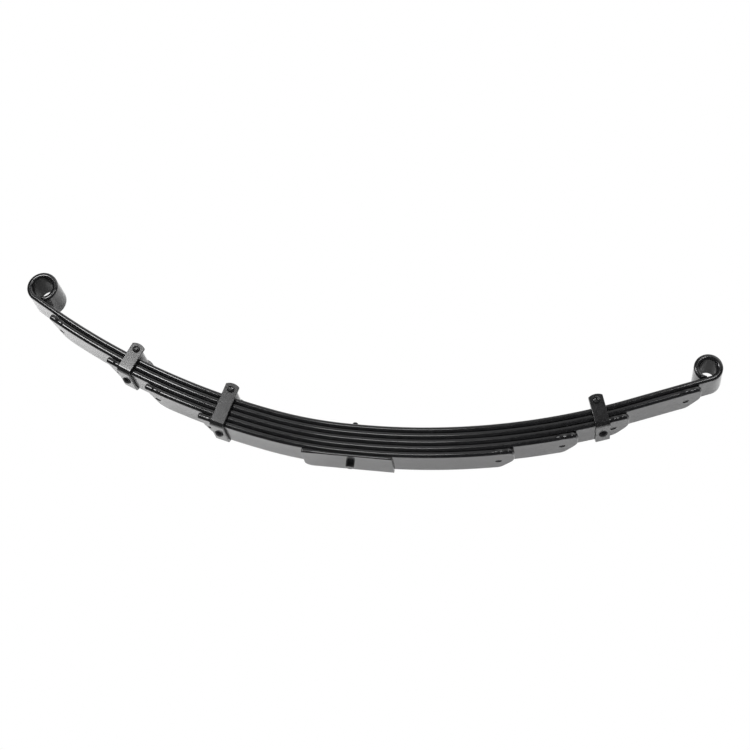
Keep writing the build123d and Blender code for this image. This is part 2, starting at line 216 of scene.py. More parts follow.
def arc_points(centre, radius, start, end, steps):
    """Points and outward normals of an arc between two angles in radians."""
    for k in range(steps + 1):
        a = start + (end - start) * k / steps
        yield centre[0] + radius * cos(a), centre[1] + radius * sin(a), cos(a), sin(a)


ARCH_MARGIN = 0.1  # radians left free between an arched end and its corners


def end_outline(length, width, low_round, high_round, end_round=None):
    """Outline of a bar's end at +X from its low to its high side: rounded corners, straight or arched end."""
    low, high = -width / 2 + low_round, width / 2 - high_round
    if end_round is None:
        yield from arc_points((length - low_round, low), low_round, -pi / 2, 0, 8)
        yield from arc_points((length - high_round, high), high_round, 0, pi / 2, 12)
        return
    centre = length - end_round
    for side, level, corner in ((-1, low, low_round), (1, high, high_round)):
        meet = asin(abs(level) / (end_round - corner))
        place = (centre + (end_round - corner) * cos(meet), level)
        if side < 0:
            yield from arc_points(place, corner, -pi / 2, -meet, 4)
            yield from arc_points((centre, 0), end_round, ARCH_MARGIN - meet, meet - ARCH_MARGIN, 10)
        else:
            yield from arc_points(place, corner, meet, pi / 2, 4)


def cornered_end(length, corners, spacing):
    """Outline of a bar's end at +X through rounded corners given as (behind the end, across, radius)."""
    path = [Vector((length - behind, across)) for behind, across, _ in corners]
    path = [path[0] - Vector((1, 0))] + path + [path[-1] - Vector((1, 0))]
    outline = []
    for k, (_, _, radius) in enumerate(corners, start=1):
        before, after = (path[k] - path[k - 1]).normalized(), (path[k + 1] - path[k]).normalized()
        turn = -before.angle_signed(after)
        centre = path[k] - before * radius * tan(turn / 2) + Vector((-before.y, before.x)) * radius
        start = atan2(before.y, before.x) - pi / 2
        arc = list(arc_points(centre, radius, start, start + turn, max(3, round(turn / radians(8)))))
        if outline:
            a, b = Vector(outline[-1][:2]), Vector(arc[0][:2])
            steps = max(1, round((b - a).length / spacing))
            outline += [(*a.lerp(b, j / steps), *arc[0][2:]) for j in range(1, steps)]
        outline += arc
    return outline


def bar_mesh(rows, ends, width, levels, holes=(), bulge=None):
    """A flat bar along X with shaped ends: its long sides have a point at each of rows.

    ends are the outlines past the first and the last row, both drawn as if at +X.
    levels are (inset, height) of the side from top to bottom.
    A hole is (x, [(radius, height), ...]), also from top to bottom.
    """
    outline = [(x, -width / 2, 0.0, -1.0) for x in rows]
    outline += ends[1]
    outline += [(x, width / 2, 0.0, 1.0) for x in reversed(rows)]
    outline += [(-x, -y, -nx, -ny) for x, y, nx, ny in ends[0]]
    if bulge:
        outline = [(x + nx * bulge(x), y + ny * bulge(x), nx, ny) for x, y, nx, ny in outline]
    count, near, last = len(outline), len(rows), len(levels) - 1
    bm = bmesh.new()
    rings = [
        [bm.verts.new((x - nx * inset, y - ny * inset, height)) for x, y, nx, ny in outline]
        for inset, height in levels
    ]
    for upper, lower in zip(rings, rings[1:]):
        for i in range(count):
            j = (i + 1) % count
            bm.faces.new((upper[i], lower[i], lower[j], upper[j]))
    far = near + len(ends[1])
    walls = [hole_wall(bm, x, steps) for x, steps in holes]
    for level, ring in ((0, rings[0]), (last, rings[-1])):
        for i in range(near - 1):
            a, b = ring[i], ring[i + 1]
            c, d = ring[far + near - 2 - i], ring[far + near - 1 - i]
            bm.faces.new((a, b, c, d) if level == 0 else (d, c, b, a))
        for start, stop in ((near - 1, far), (far + near - 1, count)):
            loop = [ring[k % count] for k in range(start, stop + 1)]
            edges = [bm.edges.get((p, q)) for p, q in zip(loop, loop[1:])]
            edges.append(bm.edges.get((loop[0], loop[-1])))
            tip_side = 1 if start == near - 1 else -1
            for x, wall in walls:
                if x * tip_side > 0:
                    rim = wall[0] if level == 0 else wall[-1]
                    edges += [bm.edges.get((p, q)) for p, q in zip(rim, rim[1:] + rim[:1])]
            up = Vector((0, 0, 1 if level == 0 else -1))
            bmesh.ops.triangle_fill(bm, edges=edges, use_beauty=True, normal=up)
    bmesh.ops.recalc_face_normals(bm, faces=bm.faces)
    return bm


def hole_wall(bm, x, steps, segments=32):
    """The inside of a round hole through a bar at x, and its rings from top to bottom."""
    rings = []
    for radius, height in steps:
        angles = [2 * pi * k / segments for k in range(segments)]
        rings.append([bm.verts.new((x + radius * cos(a), radius * sin(a), height)) for a in angles])
    for upper, lower in zip(rings, rings[1:]):
        for i in range(segments):
            j = (i + 1) % segments
            bm.faces.new((upper[i], upper[j], lower[j], lower[i]))
    return x, rings


def finish_mesh(bm, name, place=None, sharp=35.0, keep=None):
    """Turn a bmesh into an object.

    keep chooses faces by their flat middle; place maps flat points to the frame.
    """
    work = bm.copy()
    if keep:
        gone = [f for f in work.faces if not keep(f.calc_center_median())]
        bmesh.ops.delete(work, geom=gone, context="FACES")
    if place:
        for v in work.verts:
            v.co = place(v.co)
    bmesh.ops.recalc_face_normals(work, faces=work.faces)
    mesh = bpy.data.meshes.new(name)
    work.to_mesh(mesh)
    work.free()
    mesh.shade_smooth()
    mesh.set_sharp_from_angle(angle=radians(sharp))
    obj = bpy.data.objects.new(name, mesh)
    bpy.context.scene.collection.objects.link(obj)
    return obj


def turned_mesh(profile, segments=48):
    """A turned piece about Z from (radius, height) points; a radius of 0 closes it."""
    bm = bmesh.new()
    rings = []
    for radius, height in profile:
        if radius == 0:
            rings.append([bm.verts.new((0, 0, height))])
        else:
            angles = [2 * pi * k / segments for k in range(segments)]
            rings.append([bm.verts.new((radius * cos(a), radius * sin(a), height)) for a in angles])
    for upper, lower in zip(rings, rings[1:]):
        for i in range(segments):
            j = (i + 1) % segments
            corners = [upper[i % len(upper)], upper[j % len(upper)], lower[j % len(lower)], lower[i % len(lower)]]
            bm.faces.new(list(dict.fromkeys(corners)))
    bmesh.ops.recalc_face_normals(bm, faces=bm.faces)
    return bm


def dome(radius, height, base, steps=8):
    """Profile of a domed head from its crown down to its rim."""
    sphere = (radius**2 + height**2) / (2 * height)
    reach = asin(min(1.0, radius / sphere))
    points = []
    for k in range(steps + 1):
        a = reach * k / steps
        points.append((sphere * sin(a) if k else 0, base + height - sphere * (1 - cos(a))))
    return points


def nut_mesh(flats, height, bore, segments=72):
    """A hexagon nut about Z from 0 to height, its corners turned down to a cone at both faces."""
    corner_cone = radians(30)
    face_r = flats / 2 * 0.97  # radius of the turned face at each end
    mouth_r, mouth_depth = bore * 1.15, bore * 0.14  # the bore opens out at each end
    levels = [0.0, 0.06, 0.14, 0.24, 0.5, 0.76, 0.86, 0.94, 1.0]  # shares of the height
    bm = bmesh.new()

    def ring(reach_of, z):
        angles = [2 * pi * k / segments for k in range(segments)]
        return [bm.verts.new((reach_of(a) * cos(a), reach_of(a) * sin(a), z)) for a in angles]

    def hexagon(a, z):
        side = flats / 2 / cos((a % (pi / 3)) - pi / 6)
        from_face = min(z, height - z)
        return min(side, face_r + from_face / tan(corner_cone))

    rings = [ring(lambda a: bore, mouth_depth)]
    rings.append(ring(lambda a: mouth_r, 0.0))
    rings += [ring(lambda a, z=z: hexagon(a, z * height), z * height) for z in levels]
    rings.append(ring(lambda a: mouth_r, height))
    rings.append(ring(lambda a: bore, height - mouth_depth))
    for upper, lower in zip(rings, rings[1:] + rings[:1]):
        for i in range(segments):
            j = (i + 1) % segments
            bm.faces.new((upper[i], upper[j], lower[j], lower[i]))
    bmesh.ops.recalc_face_normals(bm, faces=bm.faces)
    return bm


def even_rows(marks, spacing):
    """Positions through all the marks, evenly spaced between each two."""
    rows = [marks[0]]
    for a, b in zip(marks, marks[1:]):
        steps = max(1, round((b - a) / spacing))
        rows += [a + (b - a) * k / steps for k in range(1, steps + 1)]
    return rows


# ---------------------------------------------------------------- materials
def node_adder(tree):
    """A short way of adding a node with its settings, and its inputs as values or links."""

    def add(kind, inputs=None, **settings):
        node = tree.nodes.new(kind)
        for key, value in settings.items():
            setattr(node, key, value)
        for key, value in (inputs or {}).items():
            if isinstance(value, bpy.types.NodeSocket):
                tree.links.new(value, node.inputs[key])
            else:
                node.inputs[key].default_value = value
        return node

    return add


def new_material(name):
    """A material, its shader, its node tree and a way of adding nodes."""
    material = bpy.data.materials.new(name)
    material.use_nodes = True
    tree = material.node_tree
    return material, tree.nodes["Principled BSDF"], tree, node_adder(tree)


def noise(add, where, scale, detail=3.0, rough=0.55):
    """Noise in the object's own coordinates; scale is features per metre."""
    return add("ShaderNodeTexNoise", {"Vector": where, "Scale": scale, "Detail": detail, "Roughness": rough})


def ramp(add, source, low, high):
    """Stretch a factor so that low gives 0 and high gives 1."""
    return add("ShaderNodeMapRange", {"Value": source, "From Min": low, "From Max": high}).outputs["Result"]


def spread(add, source, given, wanted):
    """Map a factor from one range to another."""
    ends = {"From Min": given[0], "From Max": given[1], "To Min": wanted[0], "To Max": wanted[1]}
    return add("ShaderNodeMapRange", {"Value": source, **ends}).outputs["Result"]


def bumps(add, layers):
    """Layers of bump, each (height, depth in metres), on top of each other."""
    normal = None
    for height, depth in layers:
        inputs = {"Height": height, "Distance": depth, "Strength": 0.5}
        if normal:
            inputs["Normal"] = normal
        normal = add("ShaderNodeBump", inputs).outputs["Normal"]
    return normal


def painted_steel(name, dark, light, rough, waves=1.0, dust=0.02, specular=0.5, coat=0.35):
    """Gloss black paint sprayed over rolled steel: orange peel, long waves of the bar, dust and dull patches."""
    material, shader, tree, add = new_material(name)
    where = add("ShaderNodeTexCoord").outputs["Object"]
    patches = noise(add, where, 14.0, 4.0).outputs["Fac"]
    mottle = noise(add, where, 160.0, 5.0, 0.65).outputs["Fac"]
    peel = noise(add, where, 700.0, 2.0).outputs["Fac"]
    wave = noise(add, where, 30.0, 1.0, 0.4).outputs["Fac"]
    specks = add("ShaderNodeTexVoronoi", {"Vector": where, "Scale": 260.0, "Randomness": 1.0})
    speck_here = ramp(add, specks.outputs["Distance"], 0.1, 0.02)
    thin_out = noise(add, where, 45.0, 2.0).outputs["Fac"]
    rare = add("ShaderNodeMath", {0: thin_out, 1: 0.6}, operation="GREATER_THAN")
    speck = add("ShaderNodeMath", {0: speck_here, 1: rare.outputs[0]}, operation="MULTIPLY").outputs[0]

    base = add("ShaderNodeMix", {"Factor": ramp(add, mottle, 0.3, 0.7), "A": dark, "B": light}, data_type="RGBA")
    dusty = add("ShaderNodeMath", {0: speck, 1: dust}, operation="MULTIPLY").outputs[0]
    grey = (0.5, 0.5, 0.5, 1)
    colour = add("ShaderNodeMix", {"Factor": dusty, "A": base.outputs["Result"], "B": grey}, data_type="RGBA")
    tree.links.new(colour.outputs["Result"], shader.inputs["Base Color"])

    dull = spread(add, patches, (0.3, 0.7), rough)
    fine = spread(add, mottle, (0.35, 0.75), (-0.02, 0.04))
    total = add("ShaderNodeMath", {0: dull, 1: fine}, operation="ADD")
    tree.links.new(total.outputs[0], shader.inputs["Roughness"])

    normal = bumps(add, ((wave, 0.28 * MM * waves), (peel, 0.006 * MM), (speck, 0.04 * MM)))
    tree.links.new(normal, shader.inputs["Normal"])
    shader.inputs["IOR"].default_value = 1.5
    shader.inputs["Specular IOR Level"].default_value = specular
    shader.inputs["Coat Weight"].default_value = coat
    shader.inputs["Coat Roughness"].default_value = 0.06
    return material


def moulded_plastic(name):
    """Dull black moulded plastic with a fine grain."""
    material, shader, tree, add = new_material(name)
    where = add("ShaderNodeTexCoord").outputs["Object"]
    grain = noise(add, where, 1500.0, 3.0).outputs["Fac"]
    cloud = noise(add, where, 120.0, 3.0).outputs["Fac"]
    dark, light = (0.016, 0.016, 0.017, 1), (0.045, 0.045, 0.046, 1)
    tint = add("ShaderNodeMix", {"Factor": cloud, "A": dark, "B": light}, data_type="RGBA")
    tree.links.new(tint.outputs["Result"], shader.inputs["Base Color"])
    rough = add("ShaderNodeMapRange", {"Value": cloud, "To Min": 0.5, "To Max": 0.7})
    tree.links.new(rough.outputs["Result"], shader.inputs["Roughness"])
    bump = add("ShaderNodeBump", {"Height": grain, "Distance": 0.06 * MM, "Strength": 0.5})
    tree.links.new(bump.outputs["Normal"], shader.inputs["Normal"])
    return material


PAPER_FADE = (-0.5, 0.1)  # the stretch of X over which the paper's glow fades


def studio_paper(name, left_glow, right_glow, shadow=None):
    """Pale seamless paper with a faint fibre and painted light: it glows as if lit from one side.

    shadow is a painted shadow in the glow: (middle, (inner, outer) reach, share of the glow left in its middle).
    """
    material, shader, tree, add = new_material(name)
    where = add("ShaderNodeTexCoord").outputs["Object"]
    fibre = noise(add, where, 6.0, 3.0).outputs["Fac"]
    dark, light = (0.86, 0.86, 0.86, 1), (0.92, 0.92, 0.92, 1)
    tint = add("ShaderNodeMix", {"Factor": fibre, "A": dark, "B": light}, data_type="RGBA")
    tree.links.new(tint.outputs["Result"], shader.inputs["Base Color"])
    shader.inputs["Roughness"].default_value = 0.9
    shader.inputs["Emission Color"].default_value = (1, 1, 1, 1)
    along = add("ShaderNodeSeparateXYZ", {"Vector": where}).outputs["X"]
    glow = spread(add, along, PAPER_FADE, (left_glow, right_glow))
    if shadow:
        middle, reach, left = shadow
        away = add("ShaderNodeVectorMath", {0: where, 1: (*middle, 0.0)}, operation="DISTANCE").outputs["Value"]
        shade = spread(add, away, reach, (left, 1.0))
        glow = add("ShaderNodeMath", {0: glow, 1: shade}, operation="MULTIPLY").outputs[0]
    tree.links.new(glow, shader.inputs["Emission Strength"])
    return material


LEAF_PAINT = painted_steel(
    "leaf_paint", (0.006, 0.006, 0.0065, 1), (0.014, 0.014, 0.015, 1), (0.13, 0.22)
)
CLIP_PAINT = painted_steel(
    "clip_paint", (0.008, 0.008, 0.008, 1), (0.018, 0.018, 0.019, 1), (0.16, 0.26), waves=0.6, dust=0.04
)
SHADED_PAINT = painted_steel(  # painted shade: a darker, less glossy copy of the paint for the insides of the eyes and the rivet domes
    "shaded_paint", (0.004, 0.004, 0.004, 1), (0.01, 0.01, 0.011, 1), (0.3, 0.42),
    waves=0.3, dust=0.04, specular=0.12, coat=0.05,
)
FASTENER_PAINT = painted_steel(
    "fastener_paint", (0.005, 0.005, 0.005, 1), (0.013, 0.013, 0.014, 1), (0.14, 0.24), waves=0.3, dust=0.04
)
PAD_PLASTIC = moulded_plastic("pad_plastic")


def dress(obj, material, slot, *nodes):
    """Give a piece its finish and hide the CAD nodes it stands for."""
    obj.data.materials.append(material)
    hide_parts(*nodes)
    return obj


# ---------------------------------------------------------------- leaves
def bend_with_pack(obj, half_name, zone):
    """Bake a length of leaf's placement into its mesh; the ends of its zone along the third leaf are found but
    not used.
    """
    start, end = (on_leaf(half_name, "third", d) for d in HINGE_SPANS[zone])
    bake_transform(obj)


def leaf_pieces(leaf_name, bm, lengths, place):
    """Split a leaf at the centre and where the second joint of each half takes over, paint each piece and bake
    its placement.
    """
    split = HINGE_SPANS["root"][1]
    for half_name, half in HALVES.items():
        way = half["way"]
        zones = {"root": lambda p: 0 < way * p.x < split, "arm": lambda p: way * p.x > split}
        for zone, inside in zones.items():
            if zone == "arm" and lengths[half_name] < split:
                continue
            obj = finish_mesh(bm, f"{leaf_name}_leaf_{half_name}_{zone}", place, keep=inside)
            dress(obj, LEAF_PAINT, "leaf_paint", f"{leaf_name}_leaf")
            # painted shade: faces inside the eyes take this darker, less glossy second paint
            obj.data.materials.append(SHADED_PAINT)
            bend_with_pack(obj, half_name, zone)


def placed_on(leaf_name):
    """Mapping from the flat bar (along, across, height) to the bent leaf."""
    return lambda p: on_leaf("front" if p.x < 0 else "rear", leaf_name, abs(p.x), p.z, p.y)


def tip_end(half_name, length):
    """Outline past a tip's last row, from its low to its high side as drawn at +X."""
    corners = TIP_CORNERS[half_name]
    if half_name == "front":
        # the front tip is drawn turned half round, so its near and far sides change places
        corners = [(behind, -across, radius) for behind, across, radius in reversed(corners)]
    fine = 2 * MM
    end = cornered_end(length, corners, fine)
    start = length - TIP_ZONE + fine
    low = [(x, -LEAF_WIDTH / 2, 0, -1) for x in even_rows([start, end[0][0] - fine], fine)]
    high = [(x, LEAF_WIDTH / 2, 0, 1) for x in even_rows([start, end[-1][0] - fine], fine)]
    return low + end + high[::-1]


def make_lower_leaf(leaf_name, lengths):
    """A leaf with slanted tips and a cupped hole near each for its pad."""
    split = HINGE_SPANS["root"][1]
    marks = [TIP_ZONE - lengths["front"], -split, 0, split, lengths["rear"] - TIP_ZONE]
    if min(lengths.values()) < split:
        marks = [TIP_ZONE - lengths["front"], 0, lengths["rear"] - TIP_ZONE]
    rows = even_rows(marks, ROW_SPACING)
    ends = [tip_end(half_name, lengths[half_name]) for half_name in HALVES]

    top = LEAF_THICKNESS / 2
    cup = top - CUP_DEPTH
    steps = [
        (CUP_R + 0.7 * MM, top),
        (CUP_R + 0.35 * MM, top),
        (CUP_R + 0.1 * MM, top - 0.1 * MM),
        (CUP_R, top - 0.35 * MM),
        (CUP_R - 0.2 * MM, cup),
        (TIP_HOLE_R + 0.5 * MM, cup),
        (TIP_HOLE_R, cup - 0.5 * MM),
        (TIP_HOLE_R, 0.4 * MM - top),
        (TIP_HOLE_R + 0.1 * MM, 0.12 * MM - top),
        (TIP_HOLE_R + 0.45 * MM, -top),
        (TIP_HOLE_R + 0.8 * MM, -top),
    ]
    centres = {h: HALVES[h]["way"] * (lengths[h] - TIP_HOLE_INSET[h]) for h in HALVES}

    def bulge(x):
        away = min(abs(x - centres["front" if x < 0 else "rear"]) / TIP_BULGE_REACH, 1.0)
        return TIP_BULGE * (0.5 + 0.5 * cos(pi * away**2))

    levels = rounded_edge(LEAF_THICKNESS, EDGE_INSET, EDGE_POWER, 12)
    holes = [(x, steps) for x in centres.values()]
    bm = bar_mesh(rows, ends, LEAF_WIDTH, levels, holes, bulge)
    leaf_pieces(leaf_name, bm, lengths, placed_on(leaf_name))
    bm.free()


def make_main_leaf():
    """The main leaf with its eyes, whose rolls end in a scarf lying just above the leaf."""
    split = HINGE_SPANS["root"][1]
    straight = {h: sum(length for length, _ in PATHS[h, "main"][:-1]) for h in HALVES}
    roll = {h: PATHS[h, "main"][-1][1] for h in HALVES}
    total = {h: straight[h] + roll[h] * EYE_ROLL for h in HALVES}
    margin = 4 * MM
    corner = 3.4 * MM
    inner_face = MAIN_THICKNESS * 0.49  # anything higher on the flat bar is its top face

    def roll_rows(half_name):
        return even_rows([straight[half_name], total[half_name] - margin], roll[half_name] * ROLL_ROW_ANGLE)

    front = [-d for d in reversed(roll_rows("front"))]
    rows = even_rows([-straight["front"], -split, 0, split, straight["rear"]], ROW_SPACING)
    rows = front[:-1] + rows + roll_rows("rear")[1:]
    ends = [list(end_outline(total[h], LEAF_WIDTH, corner, corner)) for h in ("front", "rear")]
    bm = bar_mesh(rows, ends, LEAF_WIDTH, rounded_edge(MAIN_THICKNESS, EDGE_INSET, EDGE_POWER, 12))
    for face in bm.faces:
        middle = face.calc_center_median()
        rolled = abs(middle.x) > straight["front" if middle.x < 0 else "rear"]
        if rolled and middle.z > inner_face:
            face.material_index = 1  # painted shade: the inside of an eye takes the darker, less glossy copy of the paint

    def place(p):
        half_name = "front" if p.x < 0 else "rear"
        height = p.z
        turn = (abs(p.x) - straight[half_name]) / roll[half_name]
        if turn > SCARF_START:
            outside = (roll[half_name] - MAIN_THICKNESS / 2 - SCARF_GAP) / cos(2 * pi - turn)
            room = min(MAIN_THICKNESS, outside - roll[half_name] + MAIN_THICKNESS / 2)
            height = MAIN_THICKNESS / 2 - (MAIN_THICKNESS / 2 - height) * room / MAIN_THICKNESS
        return on_leaf(half_name, "main", abs(p.x), height, p.y)

    leaf_pieces("main", bm, total, place)
    bm.free()


make_main_leaf()
for leaf_name, lengths in LOWER_LEAVES.items():
    make_lower_leaf(leaf_name, lengths)


# ---------------------------------------------------------------- saddle plate
def make_saddle_plate():
    """The plate on the axle seat: flat below, hollowed above to fit the fifth leaf."""
    low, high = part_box("saddle_plate")
    front, rear = -low.x, high.x
    far_corner, corner, zone = 14 * MM, 2 * MM, 18 * MM
    rows = even_rows([-front + zone, 0, rear - zone], ROW_SPACING)
    front_end = list(end_outline(front, LEAF_WIDTH, far_corner, corner))
    rear_end = list(end_outline(rear, LEAF_WIDTH, corner, corner))
    fifth = LEAVES["fifth"]
    under = -fifth["thickness"] / 2 - SEAT_GAP
    levels = rounded_edge(1.0, 0.7 * MM, 3.0, 8)

    def place(p):
        half_name = "front" if p.x < 0 else "rear"
        above = on_leaf(half_name, "fifth", abs(p.x), under).z
        return Vector((p.x, p.y, (p.z + 0.5) * above))

    bm = bar_mesh(rows, (front_end, rear_end), LEAF_WIDTH, levels)
    obj = finish_mesh(bm, "saddle_plate_shell", place)
    bm.free()
    dress(obj, LEAF_PAINT, "leaf_paint", "saddle_plate")
    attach(obj, "centre")


make_saddle_plate()


# ---------------------------------------------------------------- centre bolt
def thread(top, bottom, crest, root, pitch):
    """Profile of a thread as rings, from top to bottom."""
    count = round(abs(top - bottom) / pitch)
    step = (bottom - top) / count
    points = []
    for k in range(count):
        points += [(crest, top + step * k), (root, top + step * (k + 0.5))]
    return points + [(crest, bottom)]


def make_centre_bolt():
    """Round head under the plate, shank, and a domed end above its nut."""
    low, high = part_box("centre_bolt")
    head = (high - low).x / 2
    nut_low, nut_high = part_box("centre_nut")
    edge = 1.0 * MM
    profile = dome(BOLT_R - 0.8 * MM, 0.9 * MM, high.z - 0.9 * MM)
    profile += [(BOLT_R - 0.25 * MM, high.z - 1.5 * MM)]
    profile += thread(high.z - 2.0 * MM, nut_high.z - NUT_HEIGHT, BOLT_R, BOLT_R - 0.35 * MM, 1.0 * MM)
    profile += [
        (BOLT_R, 1.0 * MM),
        (head - 0.2 * MM, 1.0 * MM),
        (head, 0.7 * MM),
        (head, low.z + edge + 0.2 * MM),
        (head - 0.25 * MM, low.z + edge * 0.45),
        (head - edge, low.z + 0.05 * MM),
        (head - edge - 0.4 * MM, low.z),
        (head * 0.55, low.z),
        (head * 0.5, low.z + 0.25 * MM),
        (0, low.z + 0.3 * MM),
    ]
    obj = finish_mesh(turned_mesh(profile), "centre_bolt_shell", sharp=40)
    dress(obj, FASTENER_PAINT, "fastener_paint", "centre_bolt")
    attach(obj, "centre")

    nut = finish_mesh(nut_mesh(NUT_FLATS, NUT_HEIGHT, BOLT_R), "centre_nut_shell", sharp=25)
    nut.location.z = nut_low.z
    dress(nut, FASTENER_PAINT, "fastener_paint", "centre_nut")
    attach(nut, "centre")


make_centre_bolt()


# ---------------------------------------------------------------- rebound clips
def strap_path(leg_top, leg_reach):
    """Mapping from a flat strap (along, across, height) to its U, in the axes of the clip's leaf."""
    under = -LEAF_THICKNESS / 2 - STRAP_SEAT_GAP - STRAP_THICKNESS / 2
    bend = STRAP_BEND + STRAP_THICKNESS / 2
    base = STRAP_INSIDE + STRAP_THICKNESS / 2 - bend
    path = ((base, None), (bend * pi / 2, bend), (leg_reach, None))

    def place(p):
        side = 1 if p.x >= 0 else -1
        x, z, slope = walk(path, abs(p.x))
        return Vector((-side * p.y, side * (x - p.z * sin(slope)), under + z + p.z * cos(slope)))

    length = base + bend * pi / 2 + leg_top - (under + bend)
    return place, length, (base, base + bend * pi / 2)


def make_clip(clip_name):
    """A riveted U strap with a bolt and spacer tube across its ears."""
    half_name, leaf_name, distance, body = CLIPS[clip_name]
    leaf_at = leaf_axes(half_name, leaf_name, distance)
    slope = walk(PATHS[half_name, leaf_name], distance)[2]
    pack = LEAVES[leaf_name]["depth"] + LEAVES[leaf_name]["flat"] * sin(slope)
    bolt_level = pack + CLIP_BOLT_ABOVE
    node = f"{clip_name}_clip"

    place, length, bends = strap_path(bolt_level + EAR_ABOVE_BOLT, 1.0)
    zone = 15 * MM
    marks = [-length + zone, -bends[1], -bends[0], 0, bends[0], bends[1], length - zone]
    rows = even_rows(marks, 1.0 * MM)
    end = list(end_outline(length, STRAP_WIDTH, EAR_CORNER, EAR_CORNER, EAR_ROUND))
    half = STRAP_THICKNESS / 2
    ear_hole = BOLT_R + 0.3 * MM
    flare, flare_depth = 0.4 * MM, 0.3 * MM
    hole_steps = [(ear_hole + flare, half), (ear_hole, half - flare_depth)]
    hole_steps += [(ear_hole, flare_depth - half), (ear_hole + flare, -half)]
    ear = length - EAR_ABOVE_BOLT
    levels = rounded_edge(STRAP_THICKNESS, STRAP_EDGE, 2.2, 8)
    bm = bar_mesh(rows, (end, end), STRAP_WIDTH, levels, [(-ear, hole_steps), (ear, hole_steps)])
    strap = finish_mesh(bm, f"{node}_strap", lambda p: leaf_at @ place(p))
    bm.free()
    dress(strap, CLIP_PAINT, "clip_paint", node)
    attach(strap, body)

    under = -LEAF_THICKNESS / 2 - STRAP_SEAT_GAP - STRAP_THICKNESS
    rivet_r, rivet_height = 7.2 * MM, 4.6 * MM
    sunk_r, sunk = 5.6 * MM, 2.4 * MM
    rivet_dome = [(r, -z) for r, z in dome(rivet_r, rivet_height, -under)]
    top = LEAF_THICKNESS / 2
    body_profile = [(rivet_r * 0.96, under + 0.02 * MM), (BOLT_R, under), (BOLT_R, top - sunk)]
    body_profile += [(sunk_r, top - 0.5 * MM), (sunk_r, top - 0.1 * MM), (sunk_r - 0.3 * MM, top), (0, top)]
    rivet = finish_mesh(turned_mesh(rivet_dome + body_profile), f"{node}_rivet_shell")
    rivet.matrix_world = leaf_at
    # painted shade: the rivet's dome takes the darker, less glossy copy of the paint
    dress(rivet, SHADED_PAINT, "fastener_paint", f"{node}_rivet")
    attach(rivet, body)

    # across the ears, local Z runs from the nut's side to the head's side, which is the near one
    across = leaf_at @ Matrix.Translation((0, 0, bolt_level))
    middle = across.translation
    along_y = Matrix.Translation(middle) @ Matrix.Rotation(radians(90), 4, "X")
    outside = STRAP_INSIDE + STRAP_THICKNESS
    head_r, head = 5.8 * MM, 2.2 * MM
    crown = outside + head
    profile = [  # a dimple, a ring round it, and a rounded rim
        (0, crown - 0.5 * MM),
        (1.4 * MM, crown - 0.5 * MM),
        (1.7 * MM, crown - 0.1 * MM),
        (2.6 * MM, crown),
        (3.0 * MM, crown - 0.35 * MM),
        (3.5 * MM, crown - 0.3 * MM),
        (3.8 * MM, crown - 0.05 * MM),
        (head_r - 1.3 * MM, crown - 0.2 * MM),
        (head_r - 0.4 * MM, crown - 0.8 * MM),
        (head_r, crown - 1.5 * MM),
        (head_r, outside + 0.15 * MM),
        (head_r - 0.15 * MM, outside),
        (BOLT_R, outside),
        (BOLT_R, -outside - NUT_HEIGHT * 0.4),
    ]
    end_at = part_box(f"{node}_bolt")[1].y
    profile += thread(-outside - NUT_HEIGHT * 0.5, -end_at + 1.0 * MM, BOLT_R, BOLT_R - 0.35 * MM, 1.0 * MM)
    profile += [(BOLT_R - 0.8 * MM, -end_at), (0, -end_at)]
    bolt = finish_mesh(turned_mesh(profile), f"{node}_bolt_shell", sharp=40)
    bolt.matrix_world = along_y
    dress(bolt, FASTENER_PAINT, "fastener_paint", f"{node}_bolt")
    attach(bolt, body)

    nut = finish_mesh(nut_mesh(NUT_FLATS, NUT_HEIGHT, BOLT_R), f"{node}_nut_shell", sharp=25)
    nut.matrix_world = along_y @ Matrix.Translation((0, 0, -outside - NUT_HEIGHT))
    dress(nut, FASTENER_PAINT, "fastener_paint", f"{node}_nut")
    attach(nut, body)

    tube_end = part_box(f"{node}_spacer")[1].y
    tube_r, tube_bore = 7 * MM, BOLT_R + 0.08 * MM
    edge = 0.5 * MM
    tube = [(tube_bore, tube_end - edge), (tube_bore + edge, tube_end)]
    tube += [(tube_r - edge, tube_end), (tube_r, tube_end - edge)]
    tube += [(r, -z) for r, z in reversed(tube)] + [tube[0]]
    spacer_bm = turned_mesh(tube)
    bmesh.ops.remove_doubles(spacer_bm, verts=spacer_bm.verts, dist=0.001 * MM)
    spacer = finish_mesh(spacer_bm, f"{node}_spacer_tube")
    spacer.matrix_world = along_y
    dress(spacer, FASTENER_PAINT, "fastener_paint", f"{node}_spacer")
    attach(spacer, f"{clip_name}_spacer")


for clip_name in CLIPS:
    make_clip(clip_name)


